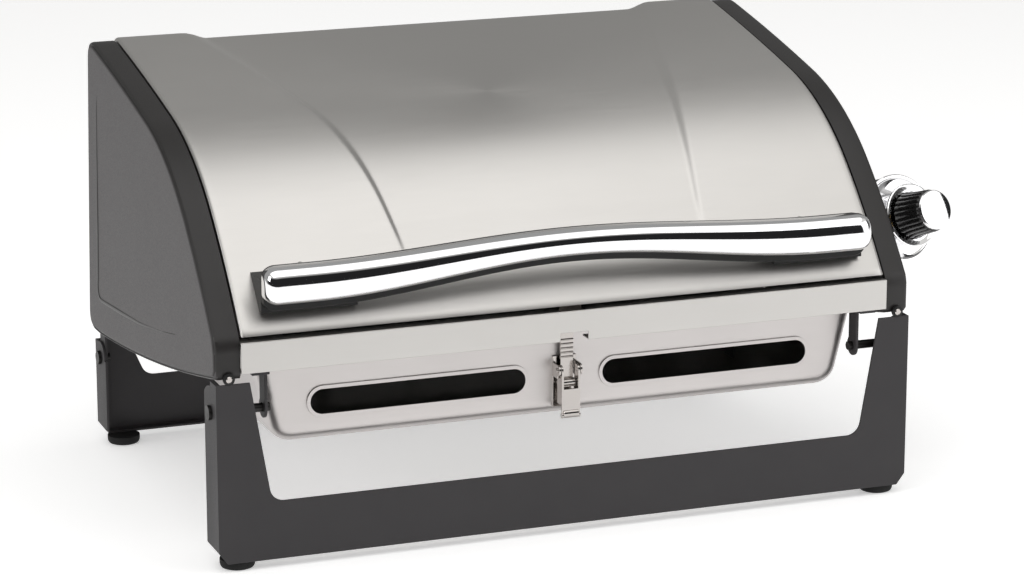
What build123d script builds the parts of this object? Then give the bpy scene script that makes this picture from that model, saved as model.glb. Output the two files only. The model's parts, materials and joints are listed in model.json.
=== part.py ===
from build123d import *
import math
import os

# Portable tabletop gas grill: a curved hood between two fixed end panels, a hung firebox,
# two folding leg frames, a draw latch and a side control pod.
# Millimetres.  X to the right, Y from the front rail to the back, Z up from the table.

# ---- overall sizes -------------------------------------------------------------------
panel_span = 500.0            # over the two end panels
hood_height = 302.0           # top of the hood above the table
body_depth = 319.0            # front rail to the top rear corner
rear_lean = 19.0              # how much further back the panels reach at the bottom

# ---- sheet, walls and running gaps ---------------------------------------------------
sheet = 1.2
panel_wall = 2.0
leg_sheet = 1.6
bracket_sheet = 2.0
pin_gap = 0.05
part_gap = 0.3
hood_side_gap = 1.5

# ---- end panels ----------------------------------------------------------------------
rim_width = 17.5
rim_drop = 2.0
panel_bottom_front = 130.0
panel_bottom_rear = 83.0
panel_rear_corner = 20.0
field_inset = 27.0
field_depth = 2.0

# ---- front rail and hood -------------------------------------------------------------
rail_bottom = 134.5
rail_height = 21.0
rail_return = 11.0
hood_gap = 3.0
press_depth = 3.0
press_top_half = 158.0
press_front_half = 108.0
press_front_y = 34.0

# ---- firebox -------------------------------------------------------------------------
firebox_front = 20.0
firebox_back = 312.0
firebox_bottom = 78.0
firebox_top = 150.0
firebox_top_half = 222.0
firebox_bottom_half = 190.0
firebox_corner = 20.0
slot_length = 152.0
slot_height = 17.0
slot_centre_x = 104.0
slot_centre_z = 105.0
slot_lip = 2.5
slot_lip_height = 1.2

# ---- legs ----------------------------------------------------------------------------
foot_height = 6.0
foot_radius = 13.0
leg_rail_height = 40.0
leg_flange_depth = 28.0
upright_top = 23.0
upright_bottom = 37.0
leg_pin_radius = 3.0
front_pivot = (14.0, 107.0)
front_pivot_crown = 18.0
front_leg_top = 128.5
rear_leg_face = 325.0
rear_leg_inset = 2.0
rear_pivot = (312.0, 66.0)
rear_pivot_crown = 12.0

# ---- handle --------------------------------------------------------------------------
handle_half = 217.0
handle_y = -11.0
handle_depth = 14.0
handle_end_z = 192.0
handle_rise = 11.5
handle_end_height = 25.0
handle_mid_height = 18.0
handle_mount_x = 181.0
handle_mount_width = 62.0
handle_mount_bottom = 172.0
handle_mount_top = 203.0
handle_screw_radius = 2.5

# ---- lid hinge -----------------------------------------------------------------------
hinge_z = 160.0
hinge_off = 4.8
knuckle_radius = 4.0
hinge_pin_radius = 2.0
hinge_x = 150.0
hinge_leaf_width = 36.0
hinge_leaf_height = 22.0

# ---- latch ---------------------------------------------------------------------------
latch_half = 8.5
latch_sheet = 1.5
latch_top = 120.0
latch_bottom = 84.0
latch_pivot_out = 10.0
latch_pivot_z = 112.0
latch_crank = 10.0
latch_over_centre = 15.0
latch_pin_radius = 1.5
hook_half = 4.5
hook_top = 138.0
keeper_half = 8.0
keeper_bottom = 141.5
keeper_y = 8.6

# ---- fire side -----------------------------------------------------------------------
burner_y = 165.0
burner_z = 114.0
burner_radius = 9.0
burner_half = 150.0
mixer_radius = 8.0
grate_top = 157.0
grate_bar = 5.0
grate_pitch = 14.0
heat_plate_half = 165.0

# ---- control pod ---------------------------------------------------------------------
knob_centre = (285.0, 85.0, 176.0)
knob_yaw = 14.0
knob_pitch = 20.0
bezel_radius = 32.0
skirt_radius = 23.0
grip_radius = 17.0
cap_radius = 13.5
knob_reach = 40.0
stem_radius = 3.0
pod_wall = 2.0
pod_length = 62.0
inlet_radius = 12.1
inlet_wall = 5.0
inlet_depth = 16.0
inlet_end_y = 196.0

# ---- grease tray ---------------------------------------------------------------------
tray_half = 100.0
tray_front = 136.0
tray_back = 224.0
tray_depth = 13.0
runner_height = 18.0
runner_lip = 5.0
drain_radius = 12.0

half_span = panel_span / 2
inner_half = half_span - rim_width
hood_half = inner_half - hood_side_gap
rail_top = rail_bottom + rail_height
hood_bottom = rail_top + hood_gap
rear_top_y = body_depth
rear_bottom_y = body_depth + rear_lean
SIDES = (("left", -1), ("right", 1))


def block(x0, x1, y0, y1, z0, z1):
    """A box between two corners."""
    middle = Pos((x0 + x1) / 2, (y0 + y1) / 2, (z0 + z1) / 2)
    return middle * Box(abs(x1 - x0), abs(y1 - y0), abs(z1 - z0))


def rod_x(radius, x0, x1, y, z):
    """A round bar along X."""
    return Pos((x0 + x1) / 2, y, z) * Rot(0, 90, 0) * Cylinder(radius, abs(x1 - x0))


def rod_y(radius, x, y0, y1, z):
    """A round bar along Y."""
    return Pos(x, (y0 + y1) / 2, z) * Rot(90, 0, 0) * Cylinder(radius, abs(y1 - y0))


def rod_z(radius, x, y, z0, z1):
    """A round bar along Z."""
    return Pos(x, y, (z0 + z1) / 2) * Cylinder(radius, abs(z1 - z0))


def mirrored(shape):
    """The same piece on the other side of the grill."""
    return mirror(shape, about=Plane.YZ)


def along_x(face, x0, x1):
    """A Y-Z outline stretched from x0 to x1."""
    return Pos(x0, 0, 0) * extrude(Plane.YZ * face, amount=x1 - x0)


def along_y(face, y0, y1):
    """An X-Z outline stretched from y0 to y1."""
    return Pos(0, y1, 0) * extrude(Plane.XZ * face, amount=y1 - y0)


def side_outline(inset=0.0):
    """The grill's outline from the side: front, hood curve, rear edge and rising underside."""
    foot = (0, rail_bottom - 4.5)
    front = (0, rail_top)
    knee = (0.202 * body_depth, hood_height - 75.5)
    shoulder = (0.498 * body_depth, hood_height - 26.5)
    crown = (body_depth - 20, hood_height)
    rise = Line(foot, front)
    lower = TangentArc([front, knee], tangent=(0.598, 0.801))
    middle = TangentArc([knee, shoulder], tangent=lower % 1)
    upper = TangentArc([shoulder, crown], tangent=middle % 1)
    top = Line(crown, (rear_top_y, hood_height + 1))
    back = Line((rear_top_y, hood_height + 1), (rear_bottom_y, panel_bottom_rear - 1))
    heel = (rear_bottom_y - 35, panel_bottom_rear)
    base = Line((rear_bottom_y, panel_bottom_rear - 1), heel)
    under = ThreePointArc(heel, (0.43 * body_depth, panel_bottom_rear + 18), foot)
    face = make_face([rise, lower, middle, upper, top, back, base, under])
    corners = [v for v in face.vertices() if v.X > rear_top_y - 1]
    face = fillet(corners, panel_rear_corner - 4)
    if inset:
        face = offset(face, amount=-inset)
    return face


OUTLINE = {}


def outline(inset=0.0):
    if inset not in OUTLINE:
        OUTLINE[inset] = side_outline(inset)
    return OUTLINE[inset]


def shell_band(x_half, inset=0.0, wall=sheet):
    """The wall that follows the side outline, all the way round."""
    outer = along_x(outline(inset), -x_half, x_half)
    return outer - along_x(outline(inset + wall), -x_half, x_half)


def rear_y(z):
    """Where the rear edge lies at a height."""
    share = (hood_height + 1 - z) / (hood_height + 2 - panel_bottom_rear)
    return rear_top_y + rear_lean * share


# ---- end panels ----------------------------------------------------------------------

def end_panel():
    """A pan with a rolled rim: open towards the grill, with a shallow pressed field outside."""
    outer = along_x(outline(rim_drop), inner_half, half_span)
    outer = fillet(outer.faces().sort_by(Axis.X)[-1].edges(), 2.0)
    field = along_x(outline(rim_drop + field_inset), half_span - field_depth, half_span + 1)
    back_of_field = along_x(
        outline(rim_drop + field_inset - panel_wall),
        half_span - field_depth - panel_wall,
        half_span,
    )
    hollow = along_x(outline(rim_drop + panel_wall), inner_half - 1, half_span - panel_wall)
    panel = outer - (hollow - back_of_field) - field
    return panel


right_panel = end_panel()
parts = {}
parts["end_panel_left"] = mirrored(right_panel)
mixer_way = rod_x(mixer_radius + 2, inner_half - 1, half_span + 1, burner_y, burner_z)
parts["end_panel_right"] = right_panel - mixer_way


# ---- front rail, rear panel and ledges -----------------------------------------------

def front_rail():
    """A channel between the panels, notched in the middle for the latch and its keeper."""
    face = block(-inner_half, inner_half, 0, sheet, rail_bottom, rail_top)
    face += block(-inner_half, inner_half, 0, rail_return, rail_top - sheet, rail_top)
    face += block(-inner_half, inner_half, 0, rail_return, rail_bottom, rail_bottom + sheet)
    face -= block(-10, 10, -1, 15, rail_bottom - 1, rail_bottom + 6)
    face -= block(-keeper_half - 2, keeper_half + 2, sheet, 15, rail_bottom, rail_top + 1)
    return face


def rear_panel():
    """The fixed back wall under the hood's rear edge."""
    wall = shell_band(inner_half)
    keep = block(-inner_half, inner_half, rear_top_y - 20, rear_bottom_y + 5,
                 panel_bottom_rear + panel_rear_corner, hinge_z - hood_gap)
    return wall & keep


def ledges():
    """Angle strips inside the panels that carry the firebox flange."""
    z = firebox_top - sheet
    strip = block(inner_half - 8.5, inner_half, firebox_front, firebox_back, z - sheet, z)
    strip += block(inner_half - sheet, inner_half, firebox_front, firebox_back, z - 12, z)
    return Compound([strip, mirrored(strip)])


def tie_bars():
    """Two round bars that hold the panels apart under the firebox flange."""
    y = firebox_back + 9
    low = panel_bottom_rear + 22
    reach = half_span - panel_wall
    return Compound([rod_x(4, -reach, reach, y, z) for z in (low, low + 30)])


parts["front_rail"] = front_rail()
parts["rear_panel"] = rear_panel()
parts["firebox_ledges"] = ledges()
parts["tie_bars"] = tie_bars()


# ---- firebox -------------------------------------------------------------------------

def tub_block(shrink):
    """The firebox's solid form: a trapezoid from the front, stretched to the back."""
    top = firebox_top + (1 if shrink else 0)
    taper = (firebox_top_half - firebox_bottom_half) / (firebox_top - firebox_bottom)
    high = firebox_top_half - shrink + (top - firebox_top) * taper
    low = firebox_bottom_half - shrink
    floor = firebox_bottom + shrink
    face = make_face(Polyline((-low, floor), (low, floor), (high, top), (-high, top), close=True))
    lower = face.vertices().sort_by(Axis.Y)[:2]
    face = fillet(lower, firebox_corner - shrink)
    solid = along_y(face, firebox_front + shrink, firebox_back - shrink)
    ends = [
        e for e in solid.edges()
        if e.center().Z < floor + 0.5 and abs(e.tangent_at(0.5).X) > 0.9
    ]
    return fillet(ends, 10 - shrink)


def vent_slot(x, grow, y0, y1):
    outline_2d = Pos(x, slot_centre_z) * SlotOverall(slot_length + 2 * grow, slot_height + 2 * grow)
    return along_y(outline_2d, y0, y1)


def firebox():
    tub = tub_block(0) - tub_block(sheet)
    rim = block(-inner_half + sheet + part_gap, inner_half - sheet - part_gap,
                rail_return + part_gap + 1, rear_y(firebox_top) - sheet - 2,
                firebox_top - sheet, firebox_top)
    mouth = block(-firebox_top_half + sheet, firebox_top_half - sheet, firebox_front + sheet,
                  firebox_back - sheet, firebox_top - 2 * sheet, firebox_top + 1)
    tub += rim - mouth
    for x in (-slot_centre_x, slot_centre_x):
        tub += vent_slot(x, slot_lip, firebox_front - slot_lip_height, firebox_front + sheet)
    for x in (-slot_centre_x, slot_centre_x):
        tub -= vent_slot(x, 0, firebox_front - 5, firebox_front + 5)
    tub -= rod_z(drain_radius, 0, (tray_front + tray_back) / 2, firebox_bottom - 1,
                 firebox_bottom + 3)
    tub -= rod_x(mixer_radius + 2, firebox_bottom_half, inner_half, burner_y, burner_z)
    return tub


parts["firebox"] = firebox()


# ---- burner, heat plate, grate -------------------------------------------------------

def burner():
    tube = rod_x(burner_radius, -burner_half, burner_half, burner_y, burner_z)
    tube -= rod_x(burner_radius - 1, -burner_half + 1.5, burner_half + 1, burner_y, burner_z)
    ports = 24
    for i in range(ports):
        x = (i - (ports - 1) / 2) * (2 * burner_half - 30) / ports
        port = Pos(x, burner_y, burner_z) * Rot(90, 0, 0) * Cylinder(1.2, 3 * burner_radius)
        tube -= port
    return tube


def mixer_tube():
    """The tube that brings gas and air through the side walls into the burner."""
    start = burner_half - 20
    end = half_span + 14
    tube = rod_x(mixer_radius - 0.2, start, end, burner_y, burner_z)
    tube -= rod_x(mixer_radius - 1.2, start - 1, end + 1, burner_y, burner_z)
    tube -= rod_z(2.5, half_span + 6, burner_y, burner_z - 12, burner_z + 12)
    return tube


def burner_brackets():
    """Saddles that stand on the firebox floor and hold the burner."""
    saddles = []
    for x in (-burner_half + 25, burner_half - 45):
        post = block(x, x + bracket_sheet, burner_y - 12, burner_y + 12,
                     firebox_bottom + sheet, burner_z)
        post -= rod_x(burner_radius + 0.05, x - 1, x + bracket_sheet + 1, burner_y, burner_z)
        foot = block(x - 12, x + bracket_sheet, burner_y - 12, burner_y + 12,
                     firebox_bottom + sheet, firebox_bottom + sheet + bracket_sheet)
        saddles.append(post + foot)
    return Compound(saddles)


def heat_plate():
    """A tent of sheet over the burner, with end legs on the firebox floor."""
    ridge = burner_z + 24
    eave = burner_z + 12
    half = 62
    path = Polyline((burner_y - half, eave), (burner_y, ridge), (burner_y + half, eave))
    low = Polyline((burner_y + half, eave - sheet), (burner_y, ridge - sheet),
                   (burner_y - half, eave - sheet))
    ends = [Line(path @ 1, low @ 0), Line(low @ 1, path @ 0)]
    tent = along_x(make_face([path, low] + ends), -heat_plate_half, heat_plate_half)
    for side in (-1, 1):
        x = side * (heat_plate_half - sheet / 2)
        for y in (burner_y - half + 8, burner_y + half - 8):
            tent += block(x - sheet / 2, x + sheet / 2, y - 7, y + 7,
                          firebox_bottom + sheet, eave + 0.5)
    return tent


def cooking_grate():
    """A frame with front-to-back bars that hangs in the firebox mouth on corner tabs."""
    x1 = firebox_top_half - 10
    y0 = firebox_front + 9
    y1 = firebox_back - 9
    z0 = grate_top - grate_bar
    frame = block(-x1, x1, y0, y1, z0, grate_top)
    frame -= block(-x1 + 6, x1 - 6, y0 + 6, y1 - 6, z0 - 1, grate_top + 1)
    count = int((2 * x1 - 12) / grate_pitch)
    for i in range(1, count):
        x = -x1 + 6 + i * (2 * x1 - 12) / count
        frame += block(x - 2.5, x + 2.5, y0 + 3, y1 - 3, z0, grate_top)
    middle = (y0 + y1) / 2
    frame += block(-x1 + 3, x1 - 3, middle - 4, middle + 4, z0, grate_top - 1.5)
    for x in (-x1 + 25, x1 - 25):
        for y, reach in ((y0, -1), (y1, 1)):
            frame += block(x - 8, x + 8, y - 1 if reach > 0 else y - 14,
                           y + 14 if reach > 0 else y + 1, firebox_top, firebox_top + 3)
            frame += block(x - 8, x + 8, y, y - reach * 5, firebox_top, z0 + 1)
    return frame


def igniter():
    """A ceramic electrode on a small bracket beside the burner."""
    x = -60
    y = burner_y - burner_radius - 8
    body = rod_x(3, x - 14, x + 10, y, burner_z + 2)
    wire = rod_x(0.8, x + 10, x + 22, y, burner_z + 2)
    stand = block(x - 6, x - 4, y - 4, y + 4, firebox_bottom + sheet, burner_z + 6)
    stand += block(x - 14, x - 4, y - 4, y + 4, firebox_bottom + sheet, firebox_bottom + sheet + 1.5)
    stand -= rod_x(3, x - 10, x, y, burner_z + 2)
    return body + wire, stand


parts["burner"] = burner()
parts["mixer_tube"] = mixer_tube()
parts["burner_brackets"] = burner_brackets()
parts["heat_plate"] = heat_plate()
parts["cooking_grate"] = cooking_grate()
parts["igniter_electrode"], parts["igniter_bracket"] = igniter()


# ---- hood ----------------------------------------------------------------------------

def press_field(grow):
    """The plan area that is pressed down: wide at the back, narrower towards the handle."""
    wide = press_top_half + grow
    narrow = press_front_half + grow
    y0 = press_front_y - grow
    plan = make_face(Polyline((-narrow, y0), (narrow, y0), (wide, 250), (wide, 400),
                              (-wide, 400), (-wide, 250), close=True))
    return Pos(0, 0, hood_bottom - 50) * extrude(plan, amount=hood_height)


def hood_form(inset):
    """The hood's solid form, with the middle pressed in."""
    full = along_x(outline(inset), -hood_half, hood_half)
    sunk = along_x(outline(inset + press_depth), -hood_half, hood_half)
    field = press_field(inset)
    return (full - field) + (sunk & field)


def hood_skin():
    above = block(-half_span, half_span, -50, rear_bottom_y + 50, hood_bottom, hood_height + 50)
    return (hood_form(0) - hood_form(sheet)) & above


def hood_end(side):
    """One of the two plates that close the hood's ends."""
    x1 = hood_half
    plate = along_x(outline(sheet + 0.1), x1 - sheet, x1)
    plate &= block(0, half_span, -50, rear_bottom_y + 50, hood_bottom, hood_height + 50)
    hem = along_x(outline(sheet + 0.1), x1 - 9, x1 - sheet)
    hem &= block(0, half_span, 20, rear_y(hood_bottom) - 20, hood_bottom, hood_bottom + sheet)
    plate += hem
    return plate if side > 0 else mirrored(plate)


parts["hood_skin"] = hood_skin()
for name, side in SIDES:
    parts["hood_end_" + name] = hood_end(side)


# ---- hood hinge ----------------------------------------------------------------------

lean = math.degrees(math.atan2(rear_lean, hood_height + 2 - panel_bottom_rear))
hinge_seat = Location((0, rear_y(hinge_z), hinge_z), (lean, 0, 0))
hinge_axis = (hinge_seat * Pos(0, hinge_off, 0)).position


def knuckle(x0, x1, bore):
    tube = rod_x(knuckle_radius, x0, x1, 0, 0) - rod_x(bore, x0 - 1, x1 + 1, 0, 0)
    return hinge_seat * Pos(0, hinge_off, 0) * tube


def hinge_leaf(x, up):
    """A leaf flat on the rear wall, with the middle knuckle above or the outer pair below."""
    w = hinge_leaf_width / 2
    third = hinge_leaf_width / 6
    z0, z1 = (2.2, hinge_leaf_height) if up else (-hinge_leaf_height, -3.5)
    leaf = hinge_seat * block(x - w, x + w, 0, sheet, z0, z1)
    spans = [(-third, third)] if up else [(-w, -third - part_gap), (third + part_gap, w)]
    for a, b in spans:
        bore = hinge_pin_radius + (pin_gap if up else 0)
        link = hinge_seat * block(x + a, x + b, 0, hinge_off, -3.5 if not up else 0.0,
                                  -1.0 if not up else 3.5)
        hole = hinge_seat * Pos(0, hinge_off, 0) * rod_x(bore, x + a - 1, x + b + 1, 0, 0)
        leaf += knuckle(x + a, x + b, bore) + (link - hole)
    return leaf


def hinge_pin(x):
    w = hinge_leaf_width / 2
    pin = rod_x(hinge_pin_radius, x - w, x + w, 0, 0)
    pin += rod_x(hinge_pin_radius + 1.2, x + w, x + w + 1.5, 0, 0)
    return hinge_seat * Pos(0, hinge_off, 0) * pin


hinge_places = (-hinge_x, hinge_x)
parts["hinge_leaves_hood"] = Compound([hinge_leaf(x, True) for x in hinge_places])
parts["hinge_leaves_base"] = Compound([hinge_leaf(x, False) for x in hinge_places])
parts["hinge_pins"] = Compound([hinge_pin(x) for x in hinge_places])


# ---- handle --------------------------------------------------------------------------

def handle_outline(shrink=0.0):
    """The bar from the front: deep at the ends, slimmer and raised in the middle."""
    x = handle_half - shrink
    low = handle_end_z - handle_end_height / 2 + shrink
    high = handle_end_z + handle_end_height / 2 - shrink
    mid = handle_end_z + handle_rise
    mid_low = mid - handle_mid_height / 2 + shrink
    mid_high = mid + handle_mid_height / 2 - shrink
    top = ThreePointArc((-x, high), (0, mid_high), (x, high))
    bottom = ThreePointArc((x, low), (0, mid_low), (-x, low))
    face = make_face([top, Line((x, high), (x, low)), bottom, Line((-x, low), (-x, high))])
    return fillet(face.vertices(), 8.0)


def handle_bar():
    bar = along_y(handle_outline(), handle_y, handle_y + handle_depth)
    front = bar.faces().sort_by(Axis.Y)[0].edges()
    return fillet(front, 4.0)


def handle_backing():
    """A dark strip behind the bar."""
    y = handle_y + handle_depth
    return along_y(handle_outline(2.0), y, y + 5)


def handle_mount(x):
    """A block from the backing to the hood, cut to the hood's curve."""
    y0 = handle_y + handle_depth + 5
    w = handle_mount_width / 2
    stub = block(x - w, x + w, y0, y0 + 60, handle_mount_bottom, handle_mount_top)
    return stub - along_x(outline(0), x - w - 1, x + w + 1)


def hood_surface_y(z):
    """Where the hood's outer face lies at a height."""
    probe = along_x(outline(0), -1, 1) & block(-1, 1, -5, body_depth / 2, z - 0.01, z + 0.01)
    return probe.bounding_box().min.Y


mount_places = (-handle_mount_x, handle_mount_x)
screw_z = handle_end_z + 3
screw_y0 = handle_y + handle_depth - 6
screw_y1 = hood_surface_y(screw_z) + 8.5
screws = []
for x in mount_places:
    screw = rod_y(handle_screw_radius, x, screw_y0, screw_y1, screw_z)
    screw += rod_y(2 * handle_screw_radius, x, screw_y1, screw_y1 + 3, screw_z)
    screws.append(screw)
drill = Compound(
    [rod_y(handle_screw_radius, x, screw_y0, screw_y1 + 3, screw_z) for x in mount_places]
)
parts["handle_bar"] = handle_bar() - drill
parts["handle_backing"] = handle_backing() - drill
parts["handle_mounts"] = Compound([handle_mount(x) - drill for x in mount_places])
parts["handle_screws"] = Compound(screws)
parts["hood_skin"] = parts["hood_skin"] - drill


# ---- latch ---------------------------------------------------------------------------

latch_y = firebox_front - latch_pivot_out
over = math.radians(latch_over_centre)
hook_pivot = (latch_y + latch_crank * math.sin(over), latch_pivot_z - latch_crank * math.cos(over))


def latch_base():
    base = block(-latch_half, latch_half, firebox_front - latch_sheet, firebox_front,
                 latch_bottom, latch_top)
    for side in (-1, 1):
        x0 = side * (latch_half - latch_sheet)
        x1 = side * latch_half
        ear = block(x0, x1, latch_y, firebox_front, latch_pivot_z - 6, latch_pivot_z + 4)
        ear += rod_x(4, min(x0, x1), max(x0, x1), latch_y, latch_pivot_z)
        base += ear
    for side in (-1, 1):
        base += rod_x(latch_pin_radius, min(side * 5.0, side * (latch_half + 1)),
                      max(side * 5.0, side * (latch_half + 1)), latch_y, latch_pivot_z)
    return base


def latch_lever():
    """Two cheeks joined by a front plate that ends in a rolled thumb edge."""
    outer = latch_half - latch_sheet - part_gap
    inner = outer - latch_sheet
    front = latch_y - 4
    lever = block(-outer, outer, front, front + latch_sheet, latch_bottom - 2, hook_pivot[1] - 3)
    lever += rod_x(2, -outer, outer, front + 1, latch_bottom - 3)
    for side in (-1, 1):
        x0 = min(side * inner, side * outer)
        x1 = max(side * inner, side * outer)
        cheek = block(x0, x1, front, hook_pivot[0] + 2, latch_bottom + 4, hook_pivot[1])
        cheek += block(x0, x1, front, latch_y + 3.5, hook_pivot[1] - 1, latch_pivot_z)
        cheek += rod_x(3.5, x0, x1, latch_y, latch_pivot_z)
        cheek += rod_x(3, x0, x1, hook_pivot[0], hook_pivot[1])
        cheek -= rod_x(latch_pin_radius + pin_gap, x0 - 1, x1 + 1, latch_y, latch_pivot_z)
        lever += cheek
    lever += rod_x(latch_pin_radius, -outer, outer, hook_pivot[0], hook_pivot[1])
    return lever


def latch_hook():
    """The pull bar: an eye on the lever's pin and a ribbed flat bar up to the keeper."""
    y = hook_pivot[0]
    bar = block(-hook_half, hook_half, y + 1.6, y + 1.6 + latch_sheet, hook_pivot[1], hook_top)
    bar += rod_x(3, -hook_half, hook_half, y, hook_pivot[1])
    bar -= rod_x(latch_pin_radius + pin_gap, -hook_half - 1, hook_half + 1, y, hook_pivot[1])
    for i in range(5):
        z = latch_pivot_z + 8 + 3 * i
        bar += rod_x(0.7, -hook_half, hook_half, y + 1.6, z)
    return bar


def latch_keeper():
    """A strap from inside the hood down behind the front rail."""
    strap = block(-keeper_half, keeper_half, keeper_y, keeper_y + sheet,
                  keeper_bottom, hood_bottom + 14)
    strap -= block(-4.5, 4.5, keeper_y - 1, keeper_y + 3, keeper_bottom + 4, keeper_bottom + 10)
    seat = block(-keeper_half, keeper_half, 0, keeper_y + sheet, hood_bottom + 2,
                 hood_bottom + 14)
    return (strap + seat) & along_x(outline(sheet), -20, 20)


parts["latch_base"] = latch_base()
parts["latch_lever"] = latch_lever()
parts["latch_hook"] = latch_hook()
parts["latch_keeper"] = latch_keeper()


# ---- leg frames ----------------------------------------------------------------------

def leg_frame(face_y, inward, half, pivot, crown, top):
    """A flat U of sheet with side flanges that turn towards the grill's middle."""
    z0 = foot_height
    x_in_low = half - upright_bottom
    x_in_high = half - upright_top
    y0, y1 = sorted((face_y, face_y + inward * leg_sheet))
    sheet_face = make_face(Polyline((-half + 6, z0), (half - 6, z0), (half, z0 + 8), (half, top),
                                    (-half, top), (-half, z0 + 8), close=True))
    window = make_face(Polyline((-x_in_low, z0 + leg_rail_height),
                                (x_in_low, z0 + leg_rail_height),
                                (x_in_high, top + 1), (-x_in_high, top + 1), close=True))
    window = fillet(window.vertices().sort_by(Axis.Y)[:2], 10)
    frame = along_y(sheet_face - window, y0, y1)
    f0, f1 = sorted((face_y, face_y + inward * leg_flange_depth))
    low_flange = block(-half + 6, half - 6, *sorted((face_y, face_y + inward * 9)), z0,
                       z0 + leg_sheet)
    frame += low_flange
    for side in (-1, 1):
        x0, x1 = sorted((side * half, side * (half - leg_sheet)))
        flange = block(x0, x1, f0, f1, z0 + 8, pivot[1])
        flange += rod_x(crown, x0, x1, *pivot) & block(x0, x1, f0, f1, 0, 400)
        near = block(x0, x1, *sorted((face_y, pivot[0])), pivot[1], top)
        flange += near
        flange -= rod_x(leg_pin_radius + pin_gap, x0 - 1, x1 + 1, *pivot)
        frame += flange
    return frame


def feet(y, half):
    """Rubber feet under the frame's ends, each with a neck."""
    pads = []
    for side in (-1, 1):
        x = side * (half - foot_radius - 3)
        pads.append(rod_z(foot_radius, x, y, 0, foot_height))
    return Compound(pads)


def pivot_pin(pivot, x_in, x_out):
    pin = rod_x(leg_pin_radius, x_in, x_out, *pivot)
    pin += rod_x(leg_pin_radius + 2, x_out + part_gap, x_out + part_gap + 2, *pivot)
    pin += rod_x(leg_pin_radius, x_out, x_out + part_gap, *pivot)
    return pin


def hanger(pivot, x, y0, y1, z_top):
    """A plate that hangs under the body and carries a leg's pivot pin, with a tab on top."""
    plate = block(x, x + bracket_sheet, y0, y1, pivot[1], z_top)
    plate += rod_x(7, x, x + bracket_sheet, *pivot)
    plate -= rod_x(leg_pin_radius, x - 1, x + 3, *pivot)
    return plate


front_half = half_span
parts["front_leg_frame"] = leg_frame(0, 1, front_half, front_pivot, front_pivot_crown,
                                     front_leg_top)
rear_half = half_span - rear_leg_inset
rear_leg_top = rear_pivot[1] + rear_pivot_crown - 1
parts["rear_leg_frame"] = leg_frame(rear_leg_face, -1, rear_half, rear_pivot,
                                    rear_pivot_crown, rear_leg_top)
parts["front_feet"] = feet(foot_radius, front_half)
parts["rear_feet"] = feet(rear_leg_face - foot_radius, rear_half)

front_hanger_x = firebox_top_half - 9
front_hanger = hanger(front_pivot, front_hanger_x, 7, 19, rail_bottom)
front_hanger += block(front_hanger_x, front_hanger_x + 12, sheet, 19, rail_bottom - bracket_sheet,
                      rail_bottom)
rear_hanger_x = rear_half - leg_sheet - part_gap - bracket_sheet
rear_hanger_top = panel_bottom_rear + rim_drop - 0.6
rear_hanger = hanger(rear_pivot, rear_hanger_x, 304, 318, rear_hanger_top)
rear_hanger += block(inner_half + 1, rear_hanger_x + bracket_sheet, 304, 318,
                     rear_hanger_top - bracket_sheet, rear_hanger_top)
parts["leg_hangers_front"] = Compound([front_hanger, mirrored(front_hanger)])
parts["leg_hangers_rear"] = Compound([rear_hanger, mirrored(rear_hanger)])
front_pin = pivot_pin(front_pivot, front_hanger_x - 3, front_half)
rear_pin = pivot_pin(rear_pivot, rear_hanger_x - 3, rear_half)
parts["leg_pins_front"] = Compound([front_pin, mirrored(front_pin)])
parts["leg_pins_rear"] = Compound([rear_pin, mirrored(rear_pin)])


# ---- grease tray ---------------------------------------------------------------------

def runner(y, inward):
    web_z = firebox_bottom - runner_height
    y0, y1 = sorted((y, y - inward * sheet))
    bar = block(-tray_half, tray_half, y0, y1, web_z, firebox_bottom)
    l0, l1 = sorted((y, y + inward * runner_lip))
    bar += block(-tray_half, tray_half, l0, l1, web_z, web_z + sheet)
    t0, t1 = sorted((y, y - inward * 8))
    bar += block(-tray_half, tray_half, t0, t1, firebox_bottom - sheet, firebox_bottom)
    return bar


def grease_tray():
    z0 = firebox_bottom - runner_height + sheet + part_gap
    tray = block(-tray_half, tray_half, tray_front, tray_back, z0, z0 + tray_depth)
    tray -= block(-tray_half + sheet, tray_half - sheet, tray_front + sheet, tray_back - sheet,
                  z0 + sheet, z0 + tray_depth + 1)
    middle = (tray_front + tray_back) / 2
    tray += block(tray_half - 0.5, tray_half + 14, middle - 20, middle + 20, z0 + tray_depth - sheet,
                  z0 + tray_depth)
    return tray


tray_side_gap = 0.8
parts["tray_runners"] = Compound(
    [runner(tray_front - tray_side_gap, 1), runner(tray_back + tray_side_gap, -1)]
)
parts["grease_tray"] = grease_tray()


# ---- control pod ---------------------------------------------------------------------

knob_frame = Location(knob_centre, (0, 0, 0)) * Rot(0, 0, knob_yaw) * Rot(90 - knob_pitch, 0, 0)


def on_knob(radius, t0, t1):
    """A disc on the knob's axis, from t0 to t1 in front of the bezel's plane."""
    return knob_frame * Pos(0, 0, (t0 + t1) / 2) * Cylinder(radius, t1 - t0)


valve_z = knob_centre[2] - 21
valve_x = knob_centre[0] - 14
pod_front = 128.0


def pod_form(shrink):
    """A barrel behind the bezel that runs into a rounded box on the end panel."""
    barrel = on_knob(bezel_radius - 1 - shrink, -pod_length + shrink, -3 - shrink)
    box = block(half_span - 12, knob_centre[0] + 6 - shrink, pod_front + shrink,
                inlet_end_y - 22 - shrink, burner_z - 14 + shrink, knob_centre[2] + 12 - shrink)
    box = fillet(box.edges().filter_by(Axis.X), 10 - shrink)
    box = fillet(box.faces().sort_by(Axis.X)[-1].edges(), 6 - shrink)
    return barrel + box


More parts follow.
